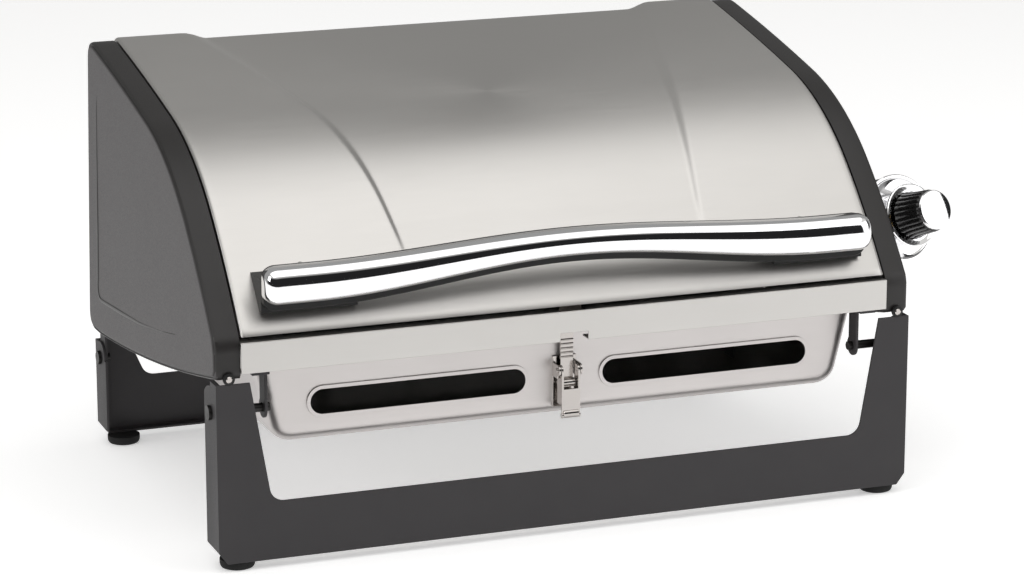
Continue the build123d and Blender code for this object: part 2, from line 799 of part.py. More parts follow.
def control_pod():
    pod = pod_form(0) - pod_form(pod_wall)
    pod &= block(half_span, 400, -100, 400, 0, 400)
    pod -= rod_y(inlet_radius + inlet_wall + part_gap, valve_x, inlet_end_y - 30,
                 inlet_end_y + 10, valve_z)
    pod -= on_knob(stem_radius + 6, -10, 0)
    pod -= rod_x(mixer_radius + 1, half_span - 1, half_span + 20, burner_y, burner_z)
    return pod


def regulator():
    """The valve and regulator body with the gas cylinder's socket at its back."""
    body = rod_y(inlet_radius + inlet_wall, valve_x, inlet_end_y - 34, inlet_end_y, valve_z)
    body += rod_y(11, valve_x, inlet_end_y - 62, inlet_end_y - 30, valve_z)
    body += on_knob(9, -pod_length + 8, -14)
    body -= on_knob(stem_radius + pin_gap, -40, 0)
    body -= rod_y(inlet_radius, valve_x, inlet_end_y - inlet_depth, inlet_end_y + 1, valve_z)
    return body


def gas_jet():
    """The brass nozzle that feeds the mixer tube, and its pipe down from the valve."""
    x = half_span + 14
    jet = rod_x(mixer_radius - 1.4, x - 4, x + 8, burner_y, burner_z)
    jet += rod_z(3.5, x + 4, burner_y, burner_z, valve_z)
    return jet - rod_y(inlet_radius + inlet_wall, valve_x, inlet_end_y - 62, inlet_end_y, valve_z)


parts["control_pod"] = control_pod()
parts["regulator"] = regulator()
parts["gas_jet"] = gas_jet()
parts["bezel"] = on_knob(bezel_radius, -3, 0) - on_knob(stem_radius + 2, -4, 1) - on_knob(
    bezel_radius - 3, -1, 1)
parts["knob_skirt"] = on_knob(skirt_radius, 3, 14) - on_knob(stem_radius, 2, 15)
parts["knob_grip"] = on_knob(grip_radius, 14, knob_reach - 3) - on_knob(stem_radius, 13, 30)
parts["knob_cap"] = on_knob(cap_radius, knob_reach - 3, knob_reach)
parts["valve_stem"] = on_knob(stem_radius, -38, 30)


# ---- fasteners -----------------------------------------------------------------------

def rail_screw(side):
    """A pan-head screw in the panel rim's front face, under the rail."""
    return rod_y(3.2, side * (inner_half + 6), -1.6, rim_drop, panel_bottom_front + 4)


parts["panel_screws"] = Compound([rail_screw(side) for _, side in SIDES])

# ---- placement and export ------------------------------------------------------------
# The origin is on the table, under the middle of the whole grill with its knob.
whole = Compound(list(parts.values())).bounding_box()
to_origin = Pos(-whole.center().X, -whole.center().Y, 0)
print("origin shift", -whole.center().X, -whole.center().Y, "sizes", whole.size)
print("hinge axis", hinge_axis, "hook pivot", hook_pivot)
os.makedirs("parts", exist_ok=True)
for node, shape in parts.items():
    export_step(to_origin * shape, "parts/" + node + ".step")
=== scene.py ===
import json
import math

import bmesh
import bpy
import numpy as np
from mathutils import Matrix, Vector


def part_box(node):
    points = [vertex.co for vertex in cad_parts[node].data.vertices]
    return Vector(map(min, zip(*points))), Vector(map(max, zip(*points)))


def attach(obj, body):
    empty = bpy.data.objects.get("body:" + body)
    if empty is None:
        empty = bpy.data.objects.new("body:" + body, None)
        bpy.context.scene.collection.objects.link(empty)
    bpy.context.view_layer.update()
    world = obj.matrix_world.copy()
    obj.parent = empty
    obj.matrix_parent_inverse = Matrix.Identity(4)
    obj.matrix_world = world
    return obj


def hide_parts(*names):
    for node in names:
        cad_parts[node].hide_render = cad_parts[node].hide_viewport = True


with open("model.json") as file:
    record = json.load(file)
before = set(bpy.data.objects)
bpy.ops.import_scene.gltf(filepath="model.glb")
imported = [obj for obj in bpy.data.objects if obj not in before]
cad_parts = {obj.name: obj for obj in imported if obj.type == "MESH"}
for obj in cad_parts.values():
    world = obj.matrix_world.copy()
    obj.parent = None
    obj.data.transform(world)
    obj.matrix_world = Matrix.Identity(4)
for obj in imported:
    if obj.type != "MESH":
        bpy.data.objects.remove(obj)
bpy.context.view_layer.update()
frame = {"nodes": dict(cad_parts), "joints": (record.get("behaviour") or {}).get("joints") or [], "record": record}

# ---- studio --------------------------------------------------------------------------
# A white table, one broad soft light overhead, a card at the left, and dark walls in
# front that the polished metal mirrors as black stripes.
MM = 0.001
rail_low, rail_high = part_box("front_rail")
middle_x = (rail_low.x + rail_high.x) / 2
front_y = rail_low.y


def place(x, y, z):
    """A point in millimetres from the table under the middle of the front rail's face."""
    return Vector((middle_x + x * MM, front_y + y * MM, z * MM))


def area_light(name, spot, aim, size, power):
    """A rectangular soft light hung at one point and turned towards another."""
    lamp = bpy.data.lights.new(name, "AREA")
    lamp.shape = "RECTANGLE"
    lamp.size, lamp.size_y = size
    lamp.energy = power
    holder = bpy.data.objects.new(name, lamp)
    bpy.context.scene.collection.objects.link(holder)
    holder.location = spot
    holder.rotation_euler = (aim - spot).to_track_quat("-Z", "Y").to_euler()


camera_data = bpy.data.cameras.new("camera")
camera_data.lens = 126.67
camera_data.sensor_width = 36.0
camera = bpy.data.objects.new("camera", camera_data)
bpy.context.scene.collection.objects.link(camera)
camera.location = place(-865.8, -2162.3, 777.0)
camera.rotation_euler = (math.radians(90 - 14.573), 0, math.radians(-20.788))
bpy.context.scene.camera = camera
bpy.context.scene.view_settings.view_transform = "Standard"

grill_middle = place(0, 150, 120)
knob_spot = place(290, 85, 180)
area_light("ceiling", place(-250, -650, 2300), place(-250, -450, 0), (3.6, 3.0), 27)
area_light("left_card", place(-2300, -200, 1100), grill_middle, (1.0, 1.0), 9)
area_light("knob_card", place(1450, -890, 690), knob_spot, (1.3, 1.3), 8.0)

world = bpy.data.worlds.new("studio")
bpy.context.scene.world = world
world.use_nodes = True
air = world.node_tree
sky_way = air.nodes.new("ShaderNodeTexCoord")
sky_parts = air.nodes.new("ShaderNodeSeparateXYZ")
sky_ramp = air.nodes.new("ShaderNodeValToRGB")
sky_ramp.color_ramp.elements[0].position = 0.46
sky_ramp.color_ramp.elements[0].color = (0.02, 0.02, 0.021, 1)
sky_ramp.color_ramp.elements[1].position = 0.64
sky_ramp.color_ramp.elements[1].color = (0.86, 0.85, 0.83, 1)
air.links.new(sky_way.outputs["Generated"], sky_parts.inputs[0])
air.links.new(sky_parts.outputs["Z"], sky_ramp.inputs["Fac"])
front_share = air.nodes.new("ShaderNodeMapRange")
front_share.inputs["From Min"].default_value = 0.30
front_share.inputs["From Max"].default_value = -0.05
air.links.new(sky_parts.outputs["Y"], front_share.inputs["Value"])
walls = air.nodes.new("ShaderNodeMix")
walls.data_type = "RGBA"
walls.inputs[6].default_value = (0.40, 0.40, 0.395, 1)
air.links.new(front_share.outputs["Result"], walls.inputs[0])
air.links.new(sky_ramp.outputs["Color"], walls.inputs[7])
air.links.new(walls.outputs[2], air.nodes["Background"].inputs["Color"])
air.nodes["Background"].inputs["Strength"].default_value = 0.82

floor_mesh = bpy.data.meshes.new("floor")
floor_mesh.from_pydata(
    [place(-6000, -1800, 0), place(6000, -1800, 0), place(6000, 8000, 0), place(-6000, 8000, 0)],
    [], [(0, 1, 2, 3)],
)
floor = bpy.data.objects.new("floor", floor_mesh)
bpy.context.scene.collection.objects.link(floor)
floor_paint = bpy.data.materials.new("floor_paint")
floor_paint.use_nodes = True
floor_shader = floor_paint.node_tree.nodes["Principled BSDF"]
floor_shader.inputs["Base Color"].default_value = (0.93, 0.93, 0.93, 1)
floor_shader.inputs["Roughness"].default_value = 0.6
floor_shader.inputs["Specular IOR Level"].default_value = 0.2
floor_shader.inputs["Emission Color"].default_value = (1, 1, 1, 1)
floor_shader.inputs["Emission Strength"].default_value = 0.42
floor_mesh.materials.append(floor_paint)


# ---- brushed hood and rail steel -----------------------------------------------------
# Stainless sheet brushed along its length: fine long scratches, a satin sheen and
# slight clouding from handling.
def socket(group, name, kind, way, value=None):
    """One named input or output of a node group."""
    made = group.interface.new_socket(name=name, in_out=way, socket_type=kind)
    if value is not None:
        made.default_value = value


def scratch_group():
    """Long fine scratches: stretched noise, as a mask and a cloudy mask."""
    g = bpy.data.node_groups.new("long_scratches", "ShaderNodeTree")
    socket(g, "Stretch", "NodeSocketVector", "INPUT", (30.0, 2600.0, 2600.0))
    socket(g, "Scratches", "NodeSocketFloat", "OUTPUT")
    socket(g, "Clouding", "NodeSocketFloat", "OUTPUT")
    inside = g.nodes.new("NodeGroupInput")
    outside = g.nodes.new("NodeGroupOutput")
    spot = g.nodes.new("ShaderNodeTexCoord")
    stretch = g.nodes.new("ShaderNodeVectorMath")
    stretch.operation = "MULTIPLY"
    fine = g.nodes.new("ShaderNodeTexNoise")
    fine.inputs["Scale"].default_value = 1.0
    fine.inputs["Detail"].default_value = 3.0
    cloud = g.nodes.new("ShaderNodeTexNoise")
    cloud.inputs["Scale"].default_value = 9.0
    cloud.inputs["Detail"].default_value = 2.0
    g.links.new(spot.outputs["Object"], stretch.inputs[0])
    g.links.new(inside.outputs["Stretch"], stretch.inputs[1])
    g.links.new(stretch.outputs[0], fine.inputs["Vector"])
    g.links.new(spot.outputs["Object"], cloud.inputs["Vector"])
    g.links.new(fine.outputs["Fac"], outside.inputs["Scratches"])
    g.links.new(cloud.outputs["Fac"], outside.inputs["Clouding"])
    return g


long_scratches = scratch_group()


def ramp_between(tree, source, low, high):
    """A mask spread between two plain values."""
    spread = tree.nodes.new("ShaderNodeMapRange")
    spread.inputs["From Min"].default_value = 0.3
    spread.inputs["From Max"].default_value = 0.7
    spread.inputs["To Min"].default_value = low
    spread.inputs["To Max"].default_value = high
    tree.links.new(source, spread.inputs["Value"])
    return spread.outputs["Result"]


def tint_between(tree, source, dark, light):
    """A mask turned into a colour between two tints."""
    mix = tree.nodes.new("ShaderNodeMix")
    mix.data_type = "RGBA"
    mix.inputs[6].default_value = (*dark, 1)
    mix.inputs[7].default_value = (*light, 1)
    tree.links.new(source, mix.inputs[0])
    return mix.outputs[2]


def bump(tree, source, strength, depth, shader):
    """A height mask as relief, its depth in metres."""
    made = tree.nodes.new("ShaderNodeBump")
    made.inputs["Strength"].default_value = strength
    made.inputs["Distance"].default_value = depth
    tree.links.new(source, made.inputs["Height"])
    tree.links.new(made.outputs["Normal"], shader.inputs["Normal"])


def brushed(name, dark, light, rough, stretch, strength):
    """Bare metal with fine scratches, between two tints and two roughnesses."""
    made = bpy.data.materials.new(name)
    made.use_nodes = True
    tree = made.node_tree
    shader = tree.nodes["Principled BSDF"]
    shader.inputs["Metallic"].default_value = 1.0
    shader.inputs["Anisotropic"].default_value = 0.35
    marks = tree.nodes.new("ShaderNodeGroup")
    marks.node_tree = long_scratches
    marks.inputs["Stretch"].default_value = stretch
    tree.links.new(tint_between(tree, marks.outputs["Clouding"], dark, light),
                   shader.inputs["Base Color"])
    tree.links.new(ramp_between(tree, marks.outputs["Scratches"], rough[0], rough[1]),
                   shader.inputs["Roughness"])
    bump(tree, marks.outputs["Scratches"], strength, 0.0002, shader)
    return made


hood_steel = brushed("hood_steel", (0.58, 0.565, 0.545), (0.62, 0.605, 0.585), (0.34, 0.42),
                     (30.0, 2600.0, 2600.0), 0.05)


def new_piece(name, verts, faces, material):
    """A mesh object from points and faces, wearing one material."""
    mesh = bpy.data.meshes.new(name)
    mesh.from_pydata([tuple(v) for v in verts], [], faces)
    mesh.validate()
    cleaner = bmesh.new()
    cleaner.from_mesh(mesh)
    bmesh.ops.remove_doubles(cleaner, verts=cleaner.verts, dist=1e-6)
    bmesh.ops.recalc_face_normals(cleaner, faces=cleaner.faces)
    cleaner.to_mesh(mesh)
    cleaner.free()
    mesh.materials.append(material)
    piece = bpy.data.objects.new(name, mesh)
    bpy.context.scene.collection.objects.link(piece)
    for face in mesh.polygons:
        face.use_smooth = True
    return piece


def grid_faces(rows, columns, closed_columns=False):
    """Quads between neighbouring points of a grid stored row by row."""
    faces = []
    for i in range(rows - 1):
        for j in range(columns if closed_columns else columns - 1):
            a = i * columns + j
            b = i * columns + (j + 1) % columns
            faces.append((a, b, b + columns, a + columns))
    return faces


# ---- hood ----------------------------------------------------------------------------
# One sheet of stainless steel rolled over the top and down the back. Its middle is
# pressed in, with soft ramps that sharpen towards the handle, and its edges are rolled.
hood_low, hood_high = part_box("hood_skin")
HOOD_TOP = hood_high.z / MM
HOOD_FOOT = hood_low.z / MM
RAIL_TOP = rail_high.z / MM
DEPTH = 319.0
LEAN = 19.0
PANEL_FOOT_REAR = 83.0
FRONT_HEADING = Vector((0.598, 0.801))


def arc_chain(points, heading, count):
    """Tangent arcs through a few points, as evenly spaced points along them."""
    chain = []
    for start, end in zip(points, points[1:]):
        chord = end - start
        turn = heading.angle_signed(chord)
        for i in range(count):
            share = i / count
            angle = turn * share
            scale = math.sin(angle) / math.sin(turn) if share else 0.0
            step = Matrix.Rotation(-angle, 2) @ heading.normalized() * chord.length * scale
            chain.append(start + step)
        heading = Matrix.Rotation(-2 * turn, 2) @ heading
    chain.append(points[-1])
    return chain


def side_profile(rear_low):
    """The grill's side curve in Y and Z: front foot, hood curve, rear corner, rear edge."""
    knots = [Vector((0, RAIL_TOP)), Vector((0.202 * DEPTH, HOOD_TOP - 75.5)),
             Vector((0.498 * DEPTH, HOOD_TOP - 26.5)), Vector((DEPTH - 20, HOOD_TOP))]
    curve = arc_chain(knots, FRONT_HEADING, 28)
    radius = 16.0
    corner = Vector((DEPTH, HOOD_TOP + 0.5))
    down = Vector((LEAN, -(HOOD_TOP + 2 - PANEL_FOOT_REAR))).normalized()
    reach = radius * 0.93
    start = corner - Vector((reach, 0))
    end = corner + down * reach
    for i in range(11):
        t = i / 10
        bend = start.lerp(corner, t).lerp(corner.lerp(end, t), t)
        curve.append(bend)
    steps = 24
    length = (end.y - rear_low) / -down.y
    curve += [end + down * length * (i + 1) / steps for i in range(steps)]
    return curve


def curve_normals(curve, closed=False):
    """Outward directions along a Y-Z curve that runs front to back over the top."""
    normals = []
    n = len(curve)
    for i in range(n):
        before = curve[(i - 1) % n] if closed else curve[max(i - 1, 0)]
        after = curve[(i + 1) % n] if closed else curve[min(i + 1, n - 1)]
        along = (after - before).normalized() if (after - before).length > 1e-6 else Vector((1, 0))
        normals.append(Vector((-along.y, along.x)))
    return normals


def hood_skin():
    """The rolled sheet: its outer face, its inner face and the edges that join them."""
    curve = [p for p in side_profile(HOOD_FOOT) if p.y > HOOD_FOOT + 0.5]
    curve.insert(0, Vector((curve[0].x - 0.9, HOOD_FOOT)))
    out = curve_normals(curve)
    half = (hood_high.x - hood_low.x) / 2 / MM
    roll = 2.6
    wall = 1.2

    def press(x, y):
        """How far the sheet is pressed in at one place."""
        share = min(max((y - 34.0) / 219.0, 0.0), 1.3)
        edge = 108.0 + 50.0 * share ** 1.15
        ramp = 3.0 + 15.0 * min(share, 1.0) ** 1.3
        fade = min(max((y - 26.0) / 26.0, 0.0), 1.0)
        depth = (2.2 + 2.4 * min(share, 1.0)) * fade
        t = min(max((edge + ramp / 2 - abs(x)) / ramp, 0.0), 1.0)
        return depth * t * t * (3 - 2 * t)

    fine = 120
    columns = [(half - roll) * (2 * j / fine - 1) for j in range(fine + 1)]
    extra = []
    for near, far in zip(columns, columns[1:]):
        if 100 < abs(near + far) / 2 < 176:
            extra += [near * 0.66 + far * 0.34, near * 0.34 + far * 0.66]
    columns = sorted(columns + extra)
    side = [(math.sin(math.radians(a)), 1 - math.cos(math.radians(a))) for a in (22, 45, 68, 90)]
    left = [(-(half - roll) - roll * s, roll * d) for s, d in reversed(side)]
    right = [((half - roll) + roll * s, roll * d) for s, d in side]
    across = left + [(x, 0.0) for x in columns] + right
    verts = []
    for p, n in zip(curve, out):
        for x, drop in across:
            sunk = drop + press(x, p.x)
            verts.append(place(x, p.x - n.x * sunk, p.y - n.y * sunk))
    for p, n in zip(curve, out):
        for x, drop in across:
            sunk = max(drop, wall) + press(x, p.x) + (0.3 if drop > wall else 0)
            verts.append(place(x * (1 - 0.9 / half) if drop > 0 else x,
                               p.x - n.x * sunk, p.y - n.y * sunk))
    rows, cols = len(curve), len(across)
    faces = grid_faces(rows, cols)
    shift = rows * cols
    faces += [tuple(shift + v for v in reversed(f)) for f in grid_faces(rows, cols)]
    for j in range(cols - 1):
        faces.append((j, j + 1, shift + j + 1, shift + j))
        k = (rows - 1) * cols
        faces.append((k + j + 1, k + j, shift + k + j, shift + k + j + 1))
    for i in range(rows - 1):
        a, b = i * cols, (i + 1) * cols
        faces.append((b, a, shift + a, shift + b))
        faces.append((a + cols - 1, b + cols - 1, shift + b + cols - 1, shift + a + cols - 1))
    return new_piece("hood_sheet", verts, faces, hood_steel)


def sharpen(piece, angle):
    """Keeps hard edges hard on a smooth mesh."""
    mesh = piece.data
    tool = bmesh.new()
    tool.from_mesh(mesh)
    for edge in tool.edges:
        if len(edge.link_faces) == 2:
            edge.smooth = edge.calc_face_angle(0.0) < math.radians(angle)
    tool.to_mesh(mesh)
    tool.free()


hood = hood_skin()
sharpen(hood, 50)
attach(hood, "hood")
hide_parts("hood_skin")


# ---- front rail, rear panel and hood ends --------------------------------------------
# Folded stainless sheet, riveted between the end panels or welded under the hood. Each
# keeps its drawn shape and gets the small folded edge radius that real sheet has.
def softened(node_name, body, material, radius, segments=2):
    """A copy of a drawn piece with its flat faces joined and its edges rounded."""
    source = frame["nodes"][node_name]
    mesh = source.data.copy()
    mesh.name = node_name + "_soft"
    tool = bmesh.new()
    tool.from_mesh(mesh)
    bmesh.ops.remove_doubles(tool, verts=tool.verts, dist=2e-6)
    bmesh.ops.dissolve_limit(tool, angle_limit=math.radians(0.5), verts=tool.verts,
                             edges=tool.edges, use_dissolve_boundaries=False)
    for face in tool.faces:
        face.smooth = True
    tool.to_mesh(mesh)
    tool.free()
    mesh.materials.clear()
    mesh.materials.append(material)
    if mesh.has_custom_normals:
        mesh.attributes.remove(mesh.attributes["custom_normal"])
    piece = bpy.data.objects.new(node_name + "_soft", mesh)
    bpy.context.scene.collection.objects.link(piece)
    rounding = piece.modifiers.new("rounded", "BEVEL")
    rounding.width = radius * MM
    rounding.segments = segments
    rounding.limit_method = "ANGLE"
    rounding.angle_limit = math.radians(40)
    rounding.use_clamp_overlap = True
    rounding.harden_normals = True
    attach(piece, body)
    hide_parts(node_name)
    return piece


softened("front_rail", "body", hood_steel, 0.9, 3)
softened("rear_panel", "body", hood_steel, 0.4)
softened("hood_end_left", "hood", hood_steel, 0.3)
softened("hood_end_right", "hood", hood_steel, 0.3)


# ---- firebox -------------------------------------------------------------------------
# A deep-drawn tub of stainless sheet, a little duller than the hood, with two long
# vent slots in its front. Its walls are a little steeper than the drawn ones.
firebox_steel = brushed("firebox_steel", (0.55, 0.525, 0.515), (0.61, 0.58, 0.57), (0.32, 0.42),
                        (30.0, 2200.0, 2200.0), 0.05)
TUB_TOP, TUB_DEPTH = 150.0, 72.0
TUB_HALF, TUB_DRAFT, TUB_CORNER = 222.0, 32.0, 21.5
FOOT_WIDENING = 14.0
tub = softened("firebox", "body", firebox_steel, 0.8, 3)
for point in tub.data.vertices:
    spot = (point.co - place(0, 0, 0)) / MM
    drop = min(max((TUB_TOP - spot.z) / TUB_DEPTH, 0.0), 1.0)
    wall = TUB_HALF - TUB_DRAFT * drop
    by_slot = 92.0 < spot.z < 118.0 and abs(spot.x) < 184.0 and spot.y < 60.0
    if abs(spot.x) > wall - TUB_CORNER and not by_slot:
        spot.x += math.copysign(FOOT_WIDENING * drop, spot.x)
        point.co = place(*spot)


# ---- dark coated end panels ----------------------------------------------------------
# Pressed steel pans with a rolled rim, powder coated in satin charcoal. The side has a
# shallow raised field. The rim, the seam groove where it meets the side and the pressed
# line wear a darker coat; in the groove and along the line that darkness is painted shade.
def grain_group():
    """Powder coat: a very fine orange peel and faint blotches."""
    g = bpy.data.node_groups.new("coat_grain", "ShaderNodeTree")
    socket(g, "Fineness", "NodeSocketFloat", "INPUT", 1800.0)
    socket(g, "Peel", "NodeSocketFloat", "OUTPUT")
    socket(g, "Blotches", "NodeSocketFloat", "OUTPUT")
    inside = g.nodes.new("NodeGroupInput")
    outside = g.nodes.new("NodeGroupOutput")
    spot = g.nodes.new("ShaderNodeTexCoord")
    peel = g.nodes.new("ShaderNodeTexNoise")
    peel.inputs["Detail"].default_value = 1.0
    blotch = g.nodes.new("ShaderNodeTexNoise")
    blotch.inputs["Scale"].default_value = 30.0
    blotch.inputs["Detail"].default_value = 4.0
    g.links.new(spot.outputs["Object"], peel.inputs["Vector"])
    g.links.new(spot.outputs["Object"], blotch.inputs["Vector"])
    g.links.new(inside.outputs["Fineness"], peel.inputs["Scale"])
    g.links.new(peel.outputs["Fac"], outside.inputs["Peel"])
    g.links.new(blotch.outputs["Fac"], outside.inputs["Blotches"])
    return g


coat_grain = grain_group()


def coated(name, dark, light, rough, fineness, strength, specular=0.4):
    """Paint, rubber or plastic with a fine grain, between two tints and roughnesses."""
    made = bpy.data.materials.new(name)
    made.use_nodes = True
    tree = made.node_tree
    shader = tree.nodes["Principled BSDF"]
    shader.inputs["Specular IOR Level"].default_value = specular
    grain = tree.nodes.new("ShaderNodeGroup")
    grain.node_tree = coat_grain
    grain.inputs["Fineness"].default_value = fineness
    tree.links.new(tint_between(tree, grain.outputs["Blotches"], dark, light),
                   shader.inputs["Base Color"])
    tree.links.new(ramp_between(tree, grain.outputs["Peel"], rough[0], rough[1]),
                   shader.inputs["Roughness"])
    bump(tree, grain.outputs["Peel"], strength, 0.0003, shader)
    return made


panel_coat = coated("panel_coat", (0.046, 0.042, 0.043), (0.058, 0.053, 0.054), (0.42, 0.58),
                    1800.0, 0.18)
# A darker, glossier copy of the panel coat for the rim; in the seam groove and on the pressed line its dark tone
# is painted shade.
rim_coat_and_crease_shade = coated("rim_coat_and_crease_shade", (0.016, 0.0145, 0.014), (0.022, 0.02, 0.0195), (0.34, 0.46),
                  1800.0, 0.12)


def resampled(curve, count):
    """The same closed curve with evenly spaced points."""
    loop = curve + [curve[0]]
    lengths = [0.0]
    for a, b in zip(loop, loop[1:]):
        lengths.append(lengths[-1] + (b - a).length)
    points = []
    k = 0
    for i in range(count):
        want = lengths[-1] * i / count
        while lengths[k + 1] < want:
            k += 1
        share = (want - lengths[k]) / max(lengths[k + 1] - lengths[k], 1e-9)
        points.append(loop[k].lerp(loop[k + 1], share))
    return points


def rounded_corner(before, corner, after, radius, steps=8):
    """Points along a smooth bend that replaces a sharp corner."""
    a = corner + (before - corner).normalized() * radius
    b = corner + (after - corner).normalized() * radius
    return [a.lerp(corner, t).lerp(corner.lerp(b, t), t)
            for t in (i / steps for i in range(steps + 1))]


def panel_outline():
    """The whole closed outline of an end panel, from the front foot over the top."""
    curve = side_profile(100.0)
    heel = Vector((DEPTH + LEAN, 82.0))
    curve += rounded_corner(curve[-1], heel, heel - Vector((35, -1)), 19.0)
    foot = Vector((0.0, RAIL_TOP - 25.5))
    start = Vector((DEPTH + LEAN - 35, PANEL_FOOT_REAR))
    through = Vector((0.43 * DEPTH, 101.0))
    for i in range(25):
        t = i / 24
        low = start.lerp(foot, t)
        lift = 4 * t * (1 - t)
        sag = through.y - (start.y + foot.y) / 2
        curve.append(Vector((low.x, low.y + sag * lift * 0.93)))
    return curve[:-1] + rounded_corner(curve[-1], foot, Vector((0, RAIL_TOP)), 4.0, 4)


def inset_loop(curve, amount):
    """The closed curve moved inwards; points that would cross over join their neighbour."""
    normals = curve_normals(curve, closed=True)
    moved = [p - n * amount for p, n in zip(curve, normals)]
    if amount <= 0:
        return moved
    a = np.array([tuple(p) for p in curve])
    b = np.roll(a, -1, axis=0)
    m = np.array([tuple(p) for p in moved])
    along = b - a
    reach = (along ** 2).sum(1) + 1e-9
    share = ((m[:, None] - a[None]) * along[None]).sum(2) / reach[None]
    near = a[None] + np.clip(share, 0, 1)[..., None] * along[None]
    gap = np.sqrt(((m[:, None] - near) ** 2).sum(2)).min(1)
    clear = gap > amount - 0.05
    kept = [i for i in range(len(moved)) if clear[i]]
    for i in range(len(moved)):
        if not clear[i]:
            moved[i] = moved[min(kept, key=lambda k: abs(k - i))].copy()
    return moved


PANEL_OUTER = 250.0
PANEL_INNER = 232.5


def end_panel(side, name):
    """One pan: a rolled rim, the seam groove painted dark as shade, the flat side and the wall inside it."""
    outer, inner = PANEL_OUTER, PANEL_INNER
    count = 260
    base = inset_loop(resampled(panel_outline(), count), 2.0)
    section = [(inner, 2.0), (inner, 0.0), (inner + 0.4, 0.0), (outer - 3.4, 0.0),
               (outer - 2.2, 0.2), (outer - 1.2, 0.7), (outer - 0.9, 1.3), (outer - 1.5, 1.8),
               (outer - 1.5, 2.4), (outer - 0.6, 2.9), (outer - 0.1, 3.4), (outer, 4.2),
               (outer, 6.0)]
    rings = [(x, inset_loop(base, d)) for x, d in section]
    verts = []
    for x, ring in rings:
        verts += [place(side * x, p.x, p.y) for p in ring]
    faces = grid_faces(len(rings), count, closed_columns=True)
    last = (len(rings) - 1) * count
    faces.append(tuple(last + i for i in range(count)))
    back = [place(side * (outer - 2.0), p.x, p.y) for p in inset_loop(base, 2.0)]
    start = len(verts)
    verts += back
    for i in range(count):
        j = (i + 1) % count
        faces.append((i, j, start + j, start + i))
    faces.append(tuple(start + i for i in range(count)))
    piece = new_piece("panel_" + name, verts, faces, panel_coat)
    # The rim band, the seam groove and the inner wall take the darker coat; in the groove it is painted shade.
    piece.data.materials.append(rim_coat_and_crease_shade)
    for face in piece.data.polygons:
        x = abs(face.center.x - middle_x) / MM
        if x < outer - 1.0 and len(face.vertices) == 4:
            face.material_index = 1
    sharpen(piece, 40)
    return piece


def panel_field(side, name):
    """The pressed line that outlines the field on the panel's side: up the back, along the foot; a low ridge in
    the darker coat, whose darkness is painted shade at the step.
    """
    route = [Vector((292, 268)), Vector((295, 240)), Vector((300, 160)), Vector((303, 128))]
    route += rounded_corner(Vector((303, 140)), Vector((305, 112)), Vector((270, 116)), 12.0)
    route += [Vector((240, 118)), Vector((188, 123)), Vector((130, 132)), Vector((85, 141))]
    normals = curve_normals(route)
    n = len(route)
    verts = []
    for lift, offset in ((-0.3, -2.0), (0.5, -0.8), (0.5, 0.8), (-0.3, 2.0)):
        for i, (p, out) in enumerate(zip(route, normals)):
            fade = min(1.0, i / 1.5, (n - 1 - i) / 3.0)
            shift = offset * max(fade, 0.1)
            verts.append(place(side * (PANEL_OUTER + lift * max(fade, 0.02) - 0.05),
                               p.x + out.x * shift, p.y + out.y * shift))
    faces = grid_faces(4, n)
    faces += [(3 * n + i, 3 * n + i + 1, i + 1, i) for i in range(n - 1)]
    faces += [(0, n, 2 * n, 3 * n), (n - 1, 4 * n - 1, 3 * n - 1, 2 * n - 1)]
    # The line wears the darker coat: painted shade along the step of the raised field.
    return new_piece("panel_line_" + name, verts, faces, rim_coat_and_crease_shade)


for panel_side, panel_name in ((-1, "left"), (1, "right")):
    panel = end_panel(panel_side, panel_name)
    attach(panel, "body")
    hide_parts("end_panel_" + panel_name)
    line = panel_field(panel_side, panel_name)
    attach(line, "body")


# ---- folding leg frames --------------------------------------------------------------
# Flat U frames of folded steel sheet, coated fine matte charcoal, each hung on two pins.
leg_coat = coated("leg_coat", (0.036, 0.034, 0.036), (0.046, 0.043, 0.045), (0.5, 0.66),
                  2200.0, 0.2, 0.35)
softened("front_leg_frame", "front_legs", leg_coat, 0.5, 2)
softened("rear_leg_frame", "rear_legs", leg_coat, 0.5, 2)
for hanger_name in ("leg_hangers_front", "leg_hangers_rear"):
    softened(hanger_name, "body", leg_coat, 0.4)


# ---- feet ----------------------------------------------------------------------------
# Four moulded rubber discs, pushed into holes in the leg frames' foot flanges. Each is a
# profile spun about its own axis.
def turned(name, profile, spin, material, flutes=0, flute_depth=0.0, segments=96):
    """A profile of (radius, height) pairs spun about an axis given as a matrix."""
    verts = []
    for radius, height in profile:
        for k in range(segments):
            angle = 2 * math.pi * k / segments
            ripple = 0.0
            if flutes and radius > 6:
                ripple = flute_depth * (0.5 + 0.5 * math.cos(flutes * angle)) ** 3
            r = (radius - ripple) * MM
            verts.append(spin @ Vector((r * math.cos(angle), r * math.sin(angle), height * MM)))
    faces = grid_faces(len(profile), segments, closed_columns=True)
    faces.append(tuple(reversed(range(segments))))
    last = (len(profile) - 1) * segments
    faces.append(tuple(last + k for k in range(segments)))
    piece = new_piece(name, verts, faces, material)
    sharpen(piece, 32)
    return piece


foot_rubber = coated("foot_rubber", (0.010, 0.010, 0.010), (0.016, 0.016, 0.016), (0.7, 0.85),
                     1200.0, 0.3, 0.3)
foot_profile = [(0.5, 0.0), (9.6, 0.0), (10.8, 0.5), (11.5, 1.6), (11.8, 3.0), (11.8, 6.0),
                (0.5, 6.0)]
for foot_node, foot_body, foot_x, foot_y in (("front_feet", "front_legs", 234, 13),
                                             ("rear_feet", "rear_legs", 232, 312)):
    for foot_side in (-1, 1):
        spot = Matrix.Translation(place(foot_side * foot_x, foot_y, 0))
        tail = "left" if foot_side < 0 else "right"
        foot = turned(foot_node + "_" + tail, foot_profile, spot, foot_rubber, segments=48)
        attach(foot, foot_body)
        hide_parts(foot_node)


